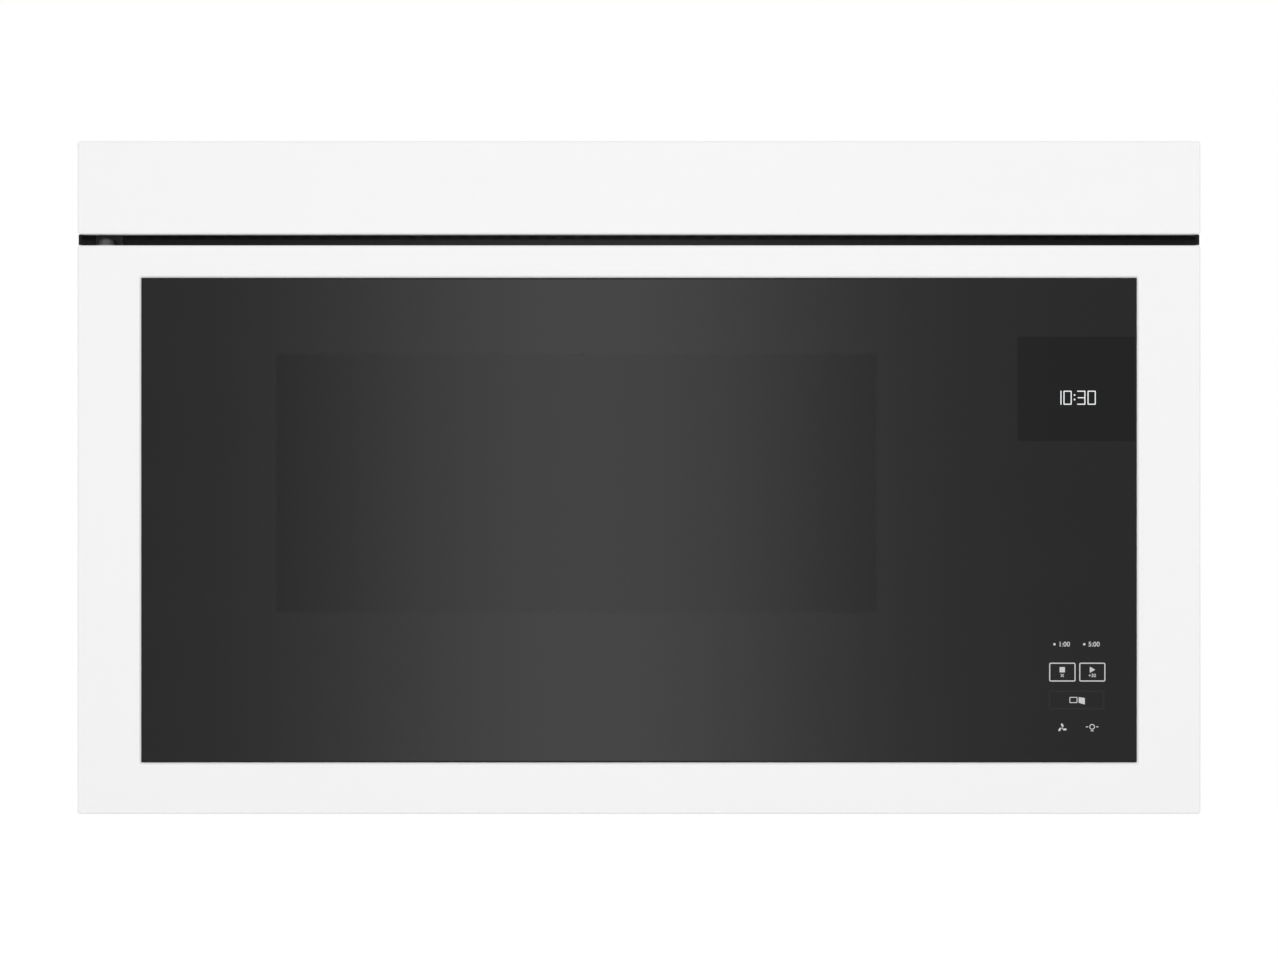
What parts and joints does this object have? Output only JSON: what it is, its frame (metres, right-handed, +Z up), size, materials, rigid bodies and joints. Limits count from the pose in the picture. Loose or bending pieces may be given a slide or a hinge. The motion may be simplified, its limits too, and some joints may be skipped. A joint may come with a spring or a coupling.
{
  "type": "over-the-range microwave oven",
  "caption": "Over-the-range microwave oven with a full-width glass touch door, a vent hood with removable grease filters and work lights below, and a blower above the cavity.",
  "frame": {"origin": "centre of the footprint at the underside", "axes": "+X to the viewer's right, +Y back to the wall, +Z up; the door faces -Y"},
  "size_m": [0.7588, 0.3604, 0.4556],
  "materials": {
    "white_door": "white moulded, satin gloss",
    "white_steel": "white powder-coated steel sheet",
    "galvanised": "galvanised steel sheet with zinc spangle",
    "enamel": "grey enamelled steel cavity",
    "black_moulding": "black moulded plastic, matt",
    "dark_glass": "dark tinted glass, printed from behind",
    "clear_glass": "clear glass",
    "ceramic": "white glass-ceramic, ground",
    "frosted_lens": "frosted glass",
    "bare_steel": "zinc-plated steel",
    "screen_steel": "black painted perforated steel",
    "aluminium": "aluminium sheet",
    "filter_mesh": "woven aluminium mesh",
    "charcoal": "activated charcoal in a black frame",
    "grey_moulding": "grey moulded nylon",
    "white_moulding": "white moulded plastic",
    "motor_steel": "plated steel motor can",
    "core_steel": "varnished laminated core with copper windings",
    "circuit_board": "green circuit board with components",
    "display": "black display block",
    "gland_rubber": "black rubber"
  },
  "bodies": {
    "case": {"left_side_panel": "white_steel", "right_side_panel": "white_steel", "top_panel": "galvanised", "base_pan": "white_steel", "back_panel": "galvanised", "rear_duct_cover": "galvanised", "front_frame": "white_steel", "mounting_nuts": "bare_steel", "case_screws": "bare_steel", "cord_gland": "gland_rubber", "top_fascia": "white_door", "vent_grille": "black_moulding", "charcoal_filter": "charcoal", "cavity_floor": "enamel", "cavity_ceiling": "enamel", "cavity_side_walls": "enamel", "cavity_back_wall": "enamel", "cavity_lamp_lens": "frosted_lens", "cavity_lamp": "white_moulding", "ceramic_shelf": "ceramic", "waveguide": "galvanised", "stirrer_motor": "motor_steel", "magnetron": "bare_steel", "hv_transformer": "core_steel", "hv_capacitor": "aluminium", "power_board": "circuit_board", "fan_shroud": "white_moulding", "fan_motor": "motor_steel", "blower_housing": "galvanised", "blower_motor": "motor_steel", "hood_lenses": "frosted_lens", "hood_lamp_boards": "white_moulding", "upper_hinge": "bare_steel", "lower_hinge": "bare_steel", "hinge_pins": "bare_steel", "latch_housing": "white_moulding", "interlock_switches": "black_moulding", "release_solenoid": "motor_steel"},
    "door": {"door_frame": "white_door", "door_glass": "dark_glass", "display_module": "display", "touch_board": "circuit_board", "door_panel": "galvanised", "window_screen": "screen_steel", "choke_frame": "white_steel", "choke_cover": "black_moulding", "inner_glass": "clear_glass", "door_liner": "white_moulding", "door_screws": "bare_steel", "hinge_bushes": "grey_moulding", "latch_spring": "bare_steel"},
    "latch": {"latch_bar": "grey_moulding"},
    "lifter": {"release_lifter": "grey_moulding"},
    "switch_buttons": {"switch_plungers": "grey_moulding"},
    "stirrer": {"stirrer": "aluminium"},
    "vent_blower": {"blower_rotor": "black_moulding"},
    "cooling_fan": {"cooling_fan": "black_moulding"},
    "left_filter": {"grease_filter_left": "filter_mesh"},
    "right_filter": {"grease_filter_right": "filter_mesh"}
  },
  "joints": [
    {"name": "door_swing", "type": "hinge", "parent": "case", "child": "door", "pos_m": [-0.3615, -0.1652, 0.193], "axis": [0, 0, -1], "range_deg": [0, 105]},
    {"name": "release_lift", "type": "slide", "parent": "case", "child": "lifter", "axis": [0, 0, 1], "range_m": [0, 0.004]},
    {"name": "latch_lift", "type": "slide", "parent": "door", "child": "latch", "axis": [0, 0, 1], "range_m": [0, 0.004], "deforming": ["latch_spring"]},
    {"name": "button_rise", "type": "slide", "parent": "case", "child": "switch_buttons", "axis": [0, 0, 1], "range_m": [0, 0.001]},
    {"name": "stirrer_spin", "type": "hinge", "parent": "case", "child": "stirrer", "pos_m": [-0.0423, 0.0078, 0.095], "axis": [0, 0, 1], "continuous": true},
    {"name": "vent_blower_spin", "type": "hinge", "parent": "case", "child": "vent_blower", "pos_m": [0, 0.088, 0.3877], "axis": [1, 0, 0], "continuous": true},
    {"name": "cooling_fan_spin", "type": "hinge", "parent": "case", "child": "cooling_fan", "pos_m": [0.262, 0.1462, 0.29], "axis": [0, 1, 0], "continuous": true},
    {"name": "left_filter_drop", "type": "slide", "parent": "case", "child": "left_filter", "axis": [0, 0, -1], "range_m": [0, 0.06]},
    {"name": "right_filter_drop", "type": "slide", "parent": "case", "child": "right_filter", "axis": [0, 0, -1], "range_m": [0, 0.06]}
  ],
  "couplings": [
    {"joint": "latch_lift", "follows": "release_lift", "ratio": 1},
    {"joint": "button_rise", "follows": "release_lift", "ratio": 0.25}
  ]
}
